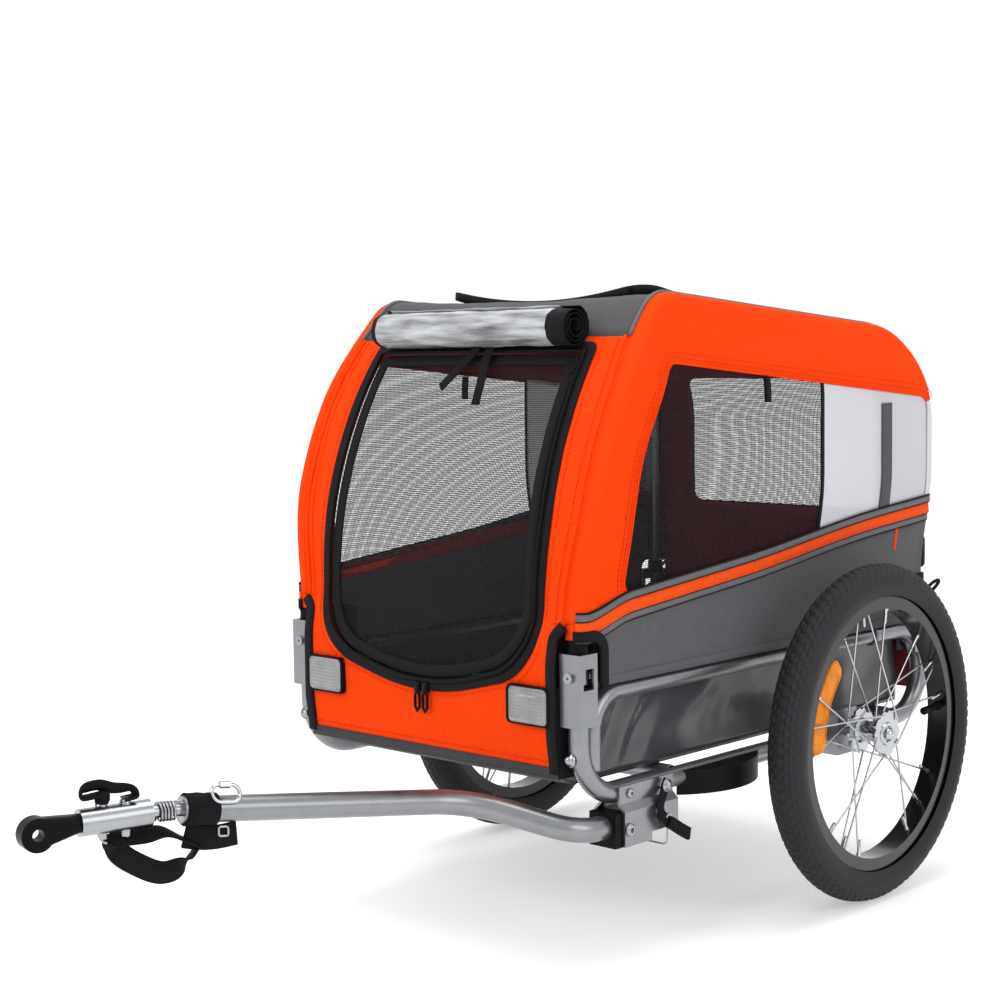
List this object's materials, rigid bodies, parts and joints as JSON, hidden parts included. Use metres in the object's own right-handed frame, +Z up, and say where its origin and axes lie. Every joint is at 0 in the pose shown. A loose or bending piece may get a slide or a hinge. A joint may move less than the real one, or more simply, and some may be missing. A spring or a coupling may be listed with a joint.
{
  "type": "dog bike trailer",
  "caption": "Folding dog trailer for a bicycle: fabric cabin with mesh door and windows on a tube frame, spoked wheels, and a bent drawbar with a sprung hitch.",
  "frame": {"origin": "on the ground under the middle of the overall box", "axes": "+Z up, the drawbar and the direction of travel are -Y, +X is the drawbar's side of the trailer"},
  "size_m": [0.62, 1.21, 0.7082],
  "materials": {
    "silver_paint": "satin silver paint",
    "bright_steel": "zinc-plated steel",
    "chrome": "chrome plate",
    "black_steel": "black coating",
    "floor_board": "dark-faced board",
    "vinyl": "coated cloth, soft sheen",
    "orange_fabric": "woven polyester",
    "charcoal_fabric": "woven polyester",
    "black_mesh": "open mesh",
    "clear_film": "clear film",
    "black_plastic": "moulded",
    "grey_reflector": "prismatic",
    "red_reflector": "prismatic",
    "amber_reflector": "prismatic",
    "tyre": "moulded tread",
    "black_rim": "black anodised",
    "webbing": "woven webbing"
  },
  "bodies": {
    "frame": {"side_tube_left": "silver_paint", "side_tube_right": "silver_paint", "upper_rails": "silver_paint", "cross_tubes": "silver_paint", "hinge_brackets": "silver_paint", "hinge_bolts": "bright_steel", "floor_board": "floor_board", "lower_tub": "vinyl", "front_panel": "orange_fabric", "roof_panel": "charcoal_fabric", "rear_panel": "charcoal_fabric", "rear_mesh": "black_mesh", "side_panel_left": "orange_fabric", "side_panel_right": "orange_fabric", "side_skirts": "charcoal_fabric", "window_mesh": "black_mesh", "window_clear": "clear_film", "rain_cover_roll": "clear_film", "bracket_plates": "silver_paint", "bracket_bolts": "bright_steel", "drawbar_pivot_bolt": "bright_steel", "rail_bumpers": "black_plastic", "axle_receivers": "silver_paint", "wheel_axles": "bright_steel", "front_reflectors": "grey_reflector", "rear_reflectors": "red_reflector"},
    "wheel_left": {"tyre_left": "tyre", "rim_left": "black_rim", "spokes_left": "chrome", "hub_left": "chrome", "spoke_reflector_left": "amber_reflector", "hub_bearings_left": "bright_steel"},
    "wheel_right": {"tyre_right": "tyre", "rim_right": "black_rim", "spokes_right": "chrome", "hub_right": "chrome", "spoke_reflector_right": "amber_reflector", "hub_bearings_right": "bright_steel"},
    "button_left": {"hub_button_left": "chrome"},
    "button_right": {"hub_button_right": "chrome"},
    "arch_left": {"arch_left": "silver_paint"},
    "arch_right": {"arch_right": "silver_paint"},
    "drawbar": {"drawbar_tube": "silver_paint", "drawbar_block": "black_plastic", "drawbar_end_plug": "bright_steel", "coupler_spring": "bright_steel", "safety_strap": "webbing", "strap_band": "webbing"},
    "coupler_ball": {"coupler_ball": "bright_steel"},
    "coupler": {"coupler_sleeve": "bright_steel", "hitch_eye": "black_steel"},
    "hitch_pin": {"hitch_pin": "bright_steel"},
    "hitch_ring": {"hitch_pin_ring": "bright_steel"},
    "lock_pin": {"lock_pin": "bright_steel"},
    "lock_ring": {"lock_pin_ring": "bright_steel"},
    "front_door": {"front_door": "black_mesh"},
    "roof_hatch": {"roof_hatch": "charcoal_fabric"},
    "zip_pull_left": {"zip_pull_left": "black_plastic"},
    "zip_pull_right": {"zip_pull_right": "black_plastic"}
  },
  "joints": [
    {"name": "wheel_left_spin", "type": "hinge", "parent": "frame", "child": "wheel_left", "pos_m": [0.283, 0.369, 0.198], "axis": [1, 0, 0], "continuous": true},
    {"name": "hub_button_left_press", "type": "slide", "parent": "frame", "child": "button_left", "axis": [-1, 0, 0], "range_m": [0, 0.003], "stiffness_N_per_m": 900},
    {"name": "wheel_right_spin", "type": "hinge", "parent": "frame", "child": "wheel_right", "pos_m": [-0.283, 0.369, 0.198], "axis": [1, 0, 0], "continuous": true},
    {"name": "hub_button_right_press", "type": "slide", "parent": "frame", "child": "button_right", "axis": [1, 0, 0], "range_m": [0, 0.003], "stiffness_N_per_m": 900},
    {"name": "arch_left_fold", "type": "hinge", "parent": "frame", "child": "arch_left", "pos_m": [0.208, 0.25, 0.314], "axis": [0, -1, 0], "range_deg": [0, 88]},
    {"name": "arch_right_fold", "type": "hinge", "parent": "frame", "child": "arch_right", "pos_m": [-0.208, 0.25, 0.314], "axis": [0, 1, 0], "range_deg": [0, 62]},
    {"name": "drawbar_fold", "type": "hinge", "parent": "frame", "child": "drawbar", "pos_m": [0.208, -0.017, 0.147], "axis": [1, 0, 0], "range_deg": [0, 160]},
    {"name": "lock_pin_pull", "type": "slide", "parent": "frame", "child": "lock_pin", "axis": [1, 0, 0], "range_m": [0, 0.0485]},
    {"name": "lock_ring_swing", "type": "hinge", "parent": "lock_pin", "child": "lock_ring", "pos_m": [0.235, 0.039, 0.14115], "axis": [0, -1, 0], "range_deg": [0, 90]},
    {"name": "coupler_yaw", "type": "hinge", "parent": "drawbar", "child": "coupler_ball", "pos_m": [0.03026, -0.46445, 0.21982], "axis": [0, 0, 1], "range_deg": [-25, 25], "stiffness_Nm_per_rad": 25, "deforming": ["coupler_spring", "safety_strap"]},
    {"name": "coupler_pitch", "type": "hinge", "parent": "coupler_ball", "child": "coupler", "pos_m": [0.03026, -0.46445, 0.21982], "axis": [-0.9719, 0.2352, 0], "range_deg": [-15, 15], "stiffness_Nm_per_rad": 60, "deforming": ["coupler_spring", "safety_strap"]},
    {"name": "hitch_ring_swing", "type": "hinge", "parent": "hitch_pin", "child": "hitch_ring", "pos_m": [0.00882, -0.52305, 0.23882], "axis": [0.2352, 0.9719, 0], "range_deg": [0, 92]},
    {"name": "hitch_pin_lift", "type": "slide", "parent": "coupler", "child": "hitch_pin", "axis": [0, 0, 1], "range_m": [0, 0.036]},
    {"name": "front_door_swing", "type": "hinge", "parent": "frame", "child": "front_door", "pos_m": [0, 0.0065, 0.6455], "axis": [-1, 0, 0], "range_deg": [0, 75]},
    {"name": "roof_hatch_swing", "type": "hinge", "parent": "frame", "child": "roof_hatch", "pos_m": [0, 0.4695, 0.6762], "axis": [-1, 0, 0], "range_deg": [0, 110]},
    {"name": "zip_pull_left_slide", "type": "slide", "parent": "frame", "child": "zip_pull_left", "axis": [1, 0, 0], "range_m": [0, 0.06]},
    {"name": "zip_pull_right_slide", "type": "slide", "parent": "frame", "child": "zip_pull_right", "axis": [-1, 0, 0], "range_m": [0, 0.06]}
  ],
  "couplings": [
    {"joint": "lock_pin_pull", "follows": "drawbar_fold", "m_per_rad": 0.0172},
    {"joint": "lock_ring_swing", "follows": "drawbar_fold", "ratio": 0.55},
    {"joint": "arch_right_fold", "follows": "arch_left_fold", "ratio": 0.7},
    {"joint": "hitch_pin_lift", "follows": "hitch_ring_swing", "m_per_rad": 0.0222}
  ]
}
